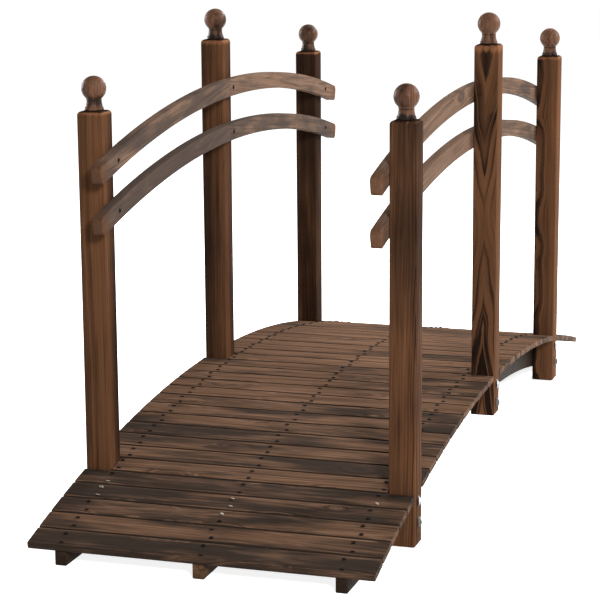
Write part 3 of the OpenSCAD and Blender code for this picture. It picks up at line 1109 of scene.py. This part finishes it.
def deckScrewSeats(spec):
    dice = random.Random(spec["seed"])
    lines = sorted((low[1] + high[1]) / 2 for low, high in map(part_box, stringerSpec["cuts"]))
    dark, bright = ([], []), ([], [])
    seats = [seat for row in boardSpec["rows"] for seat in deckSeats[row]]
    for board, seat in enumerate(seats):
        axis, up = Vector(seat["axis"]), Vector(seat["up"])
        top = Vector(seat["centre"]) + up * (seat["thickness"] / 2 + spec["lift"] / 2)
        for number, line in enumerate(lines):
            for side in (-1, 1):
                offset = side * seat["width"] * spec["spread"] + dice.uniform(-1, 1) * spec["scatter"]
                place = top + axis * offset
                place.y = line + side * spec["stagger"] + dice.uniform(-1, 1) * spec["scatter"]
                places, turns = bright if (board, number, side) in spec["bright"] else dark
                places.append(place)
                turns.append((0.0, seat["tilt"], dice.uniform(0, math.pi)))
    return dark, bright


def railScrewSeats(spec):
    places, turns = [], []
    for rail in railSpec["cuts"]:
        low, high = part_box(rail)
        centre, upper = arcOf(rail)
        middle = (upper + arcOf(rail, False)[1]) / 2
        inner, away = (low[1], -1.0) if low[1] > 0 else (high[1], 1.0)
        for end, shift in spec["railShift"].items():
            near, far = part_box(end + "_left_post")
            turn = math.asin(((near[0] + far[0]) / 2 + shift) / upper)
            places.append((middle * math.sin(turn), inner + away * spec["lift"] / 2,
                           centre + middle * math.cos(turn)))
            turns.append((-away * math.pi / 2, 0.0, 0.0))
    return places, turns


def drive(name, seats, grown, values):
    places, turns = seats
    mesh = bpy.data.meshes.new(name)
    mesh.from_pydata([tuple(place) for place in places], [], [])
    setLayer(mesh, "turn", "FLOAT_VECTOR", turns)
    piece = addPiece(name, mesh)
    runTree(piece, *grown, values)
    fasten(piece)
    print(name, "set:", len(places))


screwTree = headTree(screwSpec)
screwSizes = {"Head Radius": screwSpec["head"], "Ring Radius": screwSpec["burnRing"],
              "Sides": screwSpec["sides"], "Lift": screwSpec["lift"]}
darkSeats, brightSeats = deckScrewSeats(screwSpec)
for screws, screwSeats, metal in (("deckScrews", darkSeats, "deckScrew"),
                                  ("railScrews", railScrewSeats(screwSpec), "deckScrew"),
                                  ("brightScrews", brightSeats, "wornScrew")):
    drive(screws, screwSeats, screwTree, {**screwSizes, "Metal": metalFinish[metal]})


# zinc plated bolts with washers through the posts' feet
boltSpec = {
    "washer": 0.0100,
    "washerThick": 0.0016,
    "washerSides": 20,
    "washerEase": 0.95,
    "nut": 0.0070,
    "nutHeight": 0.0034,
    "nutSides": 6,
    "crownSides": 18,
    "crown": (0.86, 0.45),     # its foot and top, of the nut's radius
    "crownHeight": 0.35,       # of the nut's
    "drops": (0.018, 0.059),   # below the middle of the short board at the post
    "twists": (0.35, 0.95),
}


def boltTree(spec):
    tree, given, keys = newTree("setBolts", {
        "Float": ("Washer Radius", "Washer Thickness", "Head Radius", "Head Height"), "Material": ("Metal",)})
    wide, thick, nut, tall = (given[key] for key in ("Washer Radius", "Washer Thickness", "Head Radius",
                                                     "Head Height"))
    foot, top = spec["crown"]
    washer = cone(tree, spec["washerSides"], wide, wide * spec["washerEase"], thick)
    head = raised(cone(tree, spec["nutSides"], nut, nut, tall), thick)
    crown = cone(tree, spec["crownSides"], nut * foot, nut * top, tall * spec["crownHeight"])
    joined = put(tree, "GeometryNodeJoinGeometry")
    for shape in (washer, head, raised(crown, thick + tall)):
        feed(joined.socket.node.inputs[0], shape)
    closeTree(onPoints(given, joined, named(tree, "turn", "FLOAT_VECTOR")), given["Metal"])
    return tree, keys


def boltSeats(spec):
    places, turns = [], []
    for post in postSpec["cuts"]:
        low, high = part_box(post)
        end, side = post.split("_")[:2]
        board = deckSeats[end + "_post_board"][0]["centre"][2]
        outer, away = (high[1], 1.0) if side == "left" else (low[1], -1.0)
        for drop, twist in zip(spec["drops"], spec["twists"]):
            places.append(((low[0] + high[0]) / 2, outer, board - drop))
            turns.append((-away * math.pi / 2, 0.0, twist))
    return places, turns


drive("postBolts", boltSeats(boltSpec), boltTree(boltSpec), {
    "Washer Radius": boltSpec["washer"], "Washer Thickness": boltSpec["washerThick"],
    "Head Radius": boltSpec["nut"], "Head Height": boltSpec["nutHeight"], "Metal": metalFinish["zinc"]})


# pale studio floor, soft light and a white background
studioSpec = {
    "floor": 45.0,
    "floorColour": (0.86, 0.86, 0.86),
    "floorGlow": 0.86,
    "white": (1.0, 1.0, 1.0),
    "worldLight": 0.16,
    "lamps": {
        "keyLamp": {"place": (2.2, -3.8, 3.0), "target": (0.0, 0.0, 0.40), "size": 2.0, "watts": 285.0},
        "frontLamp": {"place": (-4.4, -2.4, 2.5), "target": (0.0, 0.0, 0.40), "size": 0.9, "watts": 210.0},
        "topLamp": {"place": (2.3, 0.0, 2.0), "target": (0.7, 0.0, 0.2), "size": 1.4, "watts": 92.0},
        "backLamp": {"place": (1.2, 4.6, 1.5), "target": (0.0, 0.0, 0.45), "size": 2.4, "watts": 200.0},
    },
}


def emptyTree(owner):
    owner.use_nodes = True
    owner.node_tree.nodes.clear()
    return owner.node_tree


def seenBy(tree):
    # 1 for rays that the camera sees, also by reflection, and 0 for those that only light the bridge
    path = put(tree, "ShaderNodeLightPath", None, "Is Camera Ray")
    seen = path.maths("MAXIMUM", path.also("Is Glossy Ray"))
    return seen.maths("MAXIMUM", path.also("Is Transmission Ray"))


def buildStudio(spec):
    scene.world = bpy.data.worlds.new("studioWorld")
    tree = emptyTree(scene.world)
    lit, white = (put(tree, "ShaderNodeBackground", {"Color": spec["white"], "Strength": strength})
                  for strength in (spec["worldLight"], 1.0))
    both = put(tree, "ShaderNodeMixShader", {0: seenBy(tree), 1: lit, 2: white})
    feed(tree.nodes.new("ShaderNodeOutputWorld").inputs["Surface"], both)

    half = spec["floor"]
    mesh = bpy.data.meshes.new("studioFloor")
    mesh.from_pydata([(-half, -half, 0), (half, -half, 0), (half, half, 0), (-half, half, 0)], [],
                     [(0, 1, 2, 3)])
    floor = addPiece("studioFloor", mesh)
    paper = bpy.data.materials.new("studioPaper")
    tree = emptyTree(paper)
    matt = put(tree, "ShaderNodeBsdfDiffuse", {"Color": spec["floorColour"]})
    glow = put(tree, "ShaderNodeEmission",
               {"Color": spec["white"], "Strength": seenBy(tree) * spec["floorGlow"]})
    sheet = put(tree, "ShaderNodeAddShader", {0: matt, 1: glow})
    feed(tree.nodes.new("ShaderNodeOutputMaterial").inputs["Surface"], sheet)
    mesh.materials.append(paper)

    for name, lamp in spec["lamps"].items():
        data = bpy.data.lights.new(name, "AREA")
        data.shape = "DISK"
        data.size = lamp["size"]
        data.energy = lamp["watts"]
        light = addPiece(name, data)
        light.location = lamp["place"]
        aim = Vector(lamp["target"]) - Vector(lamp["place"])
        light.rotation_euler = aim.to_track_quat("-Z", "Y").to_euler()
    print("studio built")


buildStudio(studioSpec)
